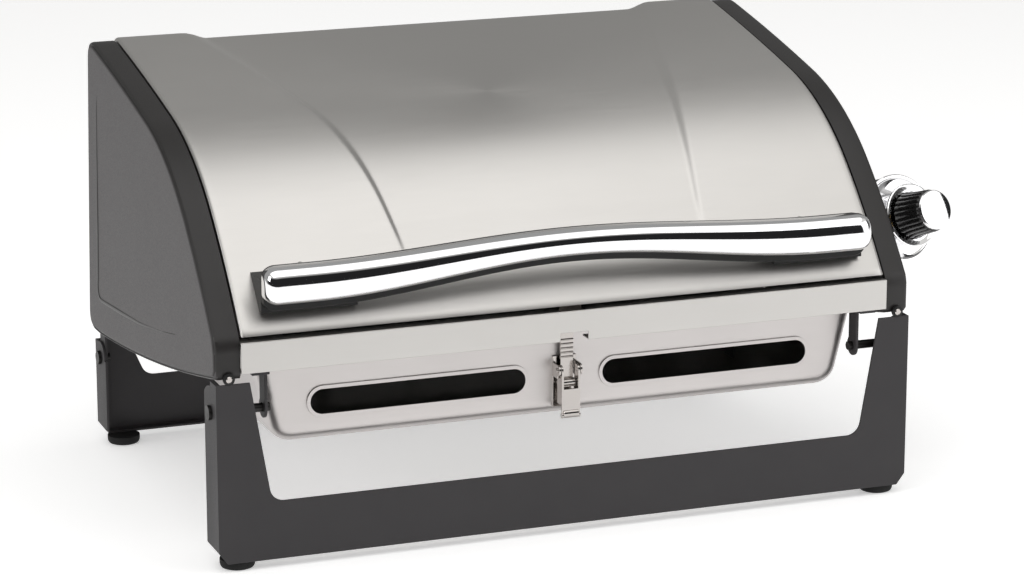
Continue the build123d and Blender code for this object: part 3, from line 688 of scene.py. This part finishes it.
# ---- handle --------------------------------------------------------------------------
# A flattened bar plated in mirror chrome, raised in the middle, over a dark backing
# strip and two dark blocks that stand it off the hood.
def polished(name, colour, rough):
    """Bright plating: nearly a mirror, with faint clouding."""
    made = bpy.data.materials.new(name)
    made.use_nodes = True
    tree = made.node_tree
    shader = tree.nodes["Principled BSDF"]
    shader.inputs["Metallic"].default_value = 1.0
    marks = tree.nodes.new("ShaderNodeGroup")
    marks.node_tree = long_scratches
    marks.inputs["Stretch"].default_value = (60.0, 60.0, 60.0)
    tree.links.new(tint_between(tree, marks.outputs["Clouding"],
                                tuple(0.97 * c for c in colour), colour),
                   shader.inputs["Base Color"])
    tree.links.new(ramp_between(tree, marks.outputs["Scratches"], rough[0], rough[1]),
                   shader.inputs["Roughness"])
    return made


handle_chrome = polished("handle_chrome", (0.93, 0.93, 0.94), (0.03, 0.06))
bar_low, bar_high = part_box("handle_bar")
BAR_END_Z, BAR_RISE = 192.0, 11.5
BAR_END_HALF, BAR_THINNING = 12.5, 3.5


def arch(x, half):
    """Centre height, half height and end rounding of the handle at one place along it."""
    u = abs(x) / half
    swell = 0.5 - 0.5 * math.cos(math.pi * min(max((0.86 - u) / 0.86, 0), 1))
    edge = max(half - abs(x), 0.0)
    tip = math.sqrt(max(0.0, 1 - ((9.0 - min(edge, 9.0)) / 9.0) ** 2))
    centre = BAR_END_Z + BAR_RISE * swell
    tall = (BAR_END_HALF - BAR_THINNING * swell) * (0.42 + 0.58 * tip)
    return centre, tall, tip


def handle_bar():
    """The bar: a D section with a crowned front, swept over a shallow arch."""
    half = (bar_high.x - bar_low.x) / 2 / MM
    front = (bar_low.y - front_y) / MM
    back = (bar_high.y - front_y) / MM
    steps = 28
    turns = [math.pi * k / steps for k in range(steps + 1)]
    section = [(math.cos(a), math.sin(a) ** 0.5) for a in turns]
    count = 90
    stations = [half * -math.cos(math.pi * i / count) for i in range(count + 1)]
    verts = []
    for x in stations:
        centre, tall, tip = arch(x, half)
        deep = (back - front) * (0.45 + 0.55 * tip)
        for h, crown in section:
            verts.append(place(x, back - deep * crown, centre + tall * h))
    rows, cols = len(stations), len(section)
    faces = grid_faces(rows, cols)
    for i in range(rows - 1):
        faces.append((i * cols, (i + 1) * cols, (i + 2) * cols - 1, (i + 1) * cols - 1))
    faces.append(tuple(reversed(range(cols))))
    faces.append(tuple((rows - 1) * cols + k for k in range(cols)))
    piece = new_piece("handle_chrome_bar", verts, faces, handle_chrome)
    sharpen(piece, 50)
    return piece


bar = handle_bar()
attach(bar, "hood")
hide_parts("handle_bar")

black_plastic = coated("black_plastic", (0.012, 0.012, 0.012), (0.018, 0.018, 0.018),
                       (0.40, 0.54), 1500.0, 0.15, 0.25)
blocks = softened("handle_mounts", "hood", black_plastic, 2.2, 4)
BLOCK_LOWERING, BLOCK_SETBACK, BLOCK_LENGTHENING = 9.0, 7.7, 4.0
for point in blocks.data.vertices:
    spot = (point.co - place(0, 0, 0)) / MM
    if spot.z > 188:
        spot.z -= BLOCK_LOWERING
        if spot.y > 20:
            spot.y -= BLOCK_SETBACK
    if abs(spot.x) > 205:
        spot.x += math.copysign(BLOCK_LENGTHENING, spot.x)
    point.co = place(*spot)


def backing_strip():
    """The dark strip behind the bar, which shows as a thin line under the chrome."""
    half = (bar_high.x - bar_low.x) / 2 / MM - 1.0
    count = 80
    verts = []
    for i in range(count + 1):
        x = half * -math.cos(math.pi * i / count)
        centre, tall, _ = arch(x, half)
        low = centre - tall - 5.6
        high = centre + tall - 0.6
        verts += [place(x, 2.0, low + 1), place(x, 3.0, low), place(x, 7.6, low),
                  place(x, 7.6, high), place(x, 3.0, high), place(x, 2.0, high - 1)]
    faces = grid_faces(count + 1, 6, closed_columns=True)
    faces.append(tuple(reversed(range(6))))
    faces.append(tuple(count * 6 + k for k in range(6)))
    piece = new_piece("handle_backing_strip", verts, faces, black_plastic)
    sharpen(piece, 30)
    return piece


strip = backing_strip()
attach(strip, "hood")
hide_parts("handle_backing")


# ---- control knob --------------------------------------------------------------------
# A chrome bezel dish, a flared chrome skirt, a fluted black grip and a chrome cap, all
# on a stem that leans up and outwards from the pod.
knob_chrome = polished("knob_chrome", (0.92, 0.92, 0.93), (0.04, 0.08))
grip_plastic = coated("grip_plastic", (0.008, 0.008, 0.008), (0.012, 0.012, 0.012),
                      (0.18, 0.3), 900.0, 0.05, 0.5)
knob_joint = next(j for j in frame["joints"] if j["name"] == "knob_turn")
knob_axis = Vector(knob_joint["axis"]).normalized()
knob_spin = Matrix.Translation(Vector(knob_joint["pos_m"])) @ (
    knob_axis.to_track_quat("Z", "Y").to_matrix().to_4x4())

bezel_profile = [(5.2, -3.0), (30.5, -3.0), (31.6, -2.6), (32.0, -1.8), (31.9, -0.7), (31.2, 0.0),
                 (30.0, 0.0), (29.0, -0.5), (28.2, -1.1), (24.0, -1.6), (12.0, -1.2), (5.2, -1.0)]
skirt_profile = [(3.2, 3.0), (16.4, 3.0), (17.6, 3.5), (19.4, 6.0), (21.2, 9.0), (22.6, 11.6),
                 (23.0, 12.6), (22.8, 13.5), (22.0, 14.0), (20.8, 13.6), (19.0, 12.6),
                 (17.6, 12.4), (3.2, 12.4)]
grip_profile = [(3.2, 14.0), (17.0, 14.0), (17.0, 15.2), (16.4, 17.0), (15.8, 22.0), (15.4, 30.0),
                (15.2, 34.0), (14.8, 35.8), (13.6, 36.8), (3.2, 36.8)]
cap_profile = [(0.4, 37.0), (13.4, 37.0), (14.1, 37.5), (14.2, 38.8), (13.7, 39.6), (13.0, 39.9),
               (0.4, 40.0)]
for round_name, round_node, round_body, shape, finish, slot_name, flutes in (
    ("bezel_dish", "bezel", "body", bezel_profile, knob_chrome, "knob_chrome", 0),
    ("knob_flare", "knob_skirt", "knob", skirt_profile, knob_chrome, "knob_chrome", 0),
    ("knob_fluted_grip", "knob_grip", "knob", grip_profile, grip_plastic, "grip_plastic", 24),
    ("knob_face", "knob_cap", "knob", cap_profile, knob_chrome, "knob_chrome", 0),
):
    ring = turned(round_name, shape, knob_spin, finish, flutes, 0.7, 144)
    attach(ring, round_body)
    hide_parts(round_node)
softened("control_pod", "body", black_plastic, 1.2, 3)


# ---- draw latch and front screws -----------------------------------------------------
# Pressed and nickel-plated: a riveted base, a lever with a rolled thumb edge, and a
# ribbed pull bar up to the keeper strap on the hood. One small domed screw sits in a
# dark seat at the front foot of each end panel.
latch_nickel = polished("latch_nickel", (0.50, 0.47, 0.45), (0.10, 0.20))
for latch_node, latch_body in (("latch_base", "body"), ("latch_lever", "latch_lever"),
                               ("latch_hook", "latch_hook"), ("latch_keeper", "hood")):
    softened(latch_node, latch_body, latch_nickel, 0.35, 3)
forward = Matrix.Rotation(math.radians(90), 4, "X")
for screw_side in (-1, 1):
    tail = "left" if screw_side < 0 else "right"
    seat = Matrix.Translation(place(screw_side * 241.0, 0, 132.0)) @ forward
    washer = turned("screw_seat_" + tail, [(0.3, -1.6), (3.9, -1.6), (4.0, 0.3), (3.4, 0.6),
                                           (0.3, 0.6)], seat, black_plastic, segments=40)
    head = turned("screw_head_" + tail, [(0.2, 0.6), (2.1, 0.6), (2.2, 1.0), (1.6, 1.5),
                                         (0.2, 1.6)], seat, latch_nickel, segments=40)
    for bit, bit_slot in ((washer, "black_plastic"), (head, "latch_nickel")):
        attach(bit, "body")
        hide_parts("panel_screws")
roll = turned("latch_rolled_end", [(0.3, -5.6), (2.6, -5.6), (3.0, -5.2), (3.0, 5.2), (2.6, 5.6),
                                   (0.3, 5.6)],
              Matrix.Translation(place(0, 7.4, 82.2)) @ Matrix.Rotation(math.radians(90), 4, "Y"),
              latch_nickel, segments=40)
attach(roll, "latch_lever")
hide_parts("latch_lever")


# ---- inner and rear metalwork --------------------------------------------------------
# Hinges, tie bars, ledges, pins and runners are zinc plated; burner, mixer tube, heat
# plate and tray are dull aluminised sheet; the grate is cast and porcelain coated.
zinc_steel = brushed("zinc_steel", (0.52, 0.52, 0.50), (0.62, 0.62, 0.60), (0.32, 0.46),
                     (120.0, 120.0, 120.0), 0.06)
aluminised_steel = brushed("aluminised_steel", (0.44, 0.43, 0.41), (0.54, 0.53, 0.51),
                           (0.42, 0.6), (90.0, 90.0, 90.0), 0.08)
regulator_zinc = brushed("regulator_zinc", (0.48, 0.48, 0.49), (0.56, 0.56, 0.57), (0.4, 0.55),
                         (400.0, 400.0, 400.0), 0.1)
brass = brushed("brass", (0.62, 0.44, 0.20), (0.72, 0.53, 0.26), (0.22, 0.36),
                (300.0, 300.0, 300.0), 0.05)
grate_iron = coated("grate_iron", (0.010, 0.010, 0.011), (0.018, 0.018, 0.018), (0.22, 0.4),
                    700.0, 0.35, 0.5)
ceramic = coated("ceramic", (0.70, 0.68, 0.62), (0.78, 0.76, 0.70), (0.15, 0.25), 500.0, 0.05, 0.5)
inner_finish = {"zinc_steel": zinc_steel, "aluminised_steel": aluminised_steel, "brass": brass,
                "regulator_zinc": regulator_zinc, "ceramic": ceramic, "grate_iron": grate_iron}
inner_rounding = {"cooking_grate": ("body", 1.2, 3), "heat_plate": ("body", 0.4, 2),
                  "hinge_leaves_base": ("body", 0.4, 2), "hinge_leaves_hood": ("hood", 0.4, 2),
                  "grease_tray": ("grease_tray", 0.4, 2), "tray_runners": ("body", 0.4, 2),
                  "firebox_ledges": ("body", 0.4, 2), "burner_brackets": ("body", 0.4, 2)}
pin_zinc = brushed("pin_zinc", (0.035, 0.034, 0.034), (0.06, 0.058, 0.056), (0.34, 0.46),
                   (120.0, 120.0, 120.0), 0.06)
slot_of = {s["node"]: s["material_slot"] for s in frame["record"]["subparts"]}
for inner_name, inner_node in frame["nodes"].items():
    finish = inner_finish.get(slot_of[inner_name])
    if finish is None:
        continue
    if inner_name.startswith("leg_pins"):
        finish = pin_zinc
    inner_node.data.materials.clear()
    inner_node.data.materials.append(finish)
    if inner_name in inner_rounding:
        inner_body, inner_radius, inner_steps = inner_rounding[inner_name]
        softened(inner_name, inner_body, finish, inner_radius, inner_steps)
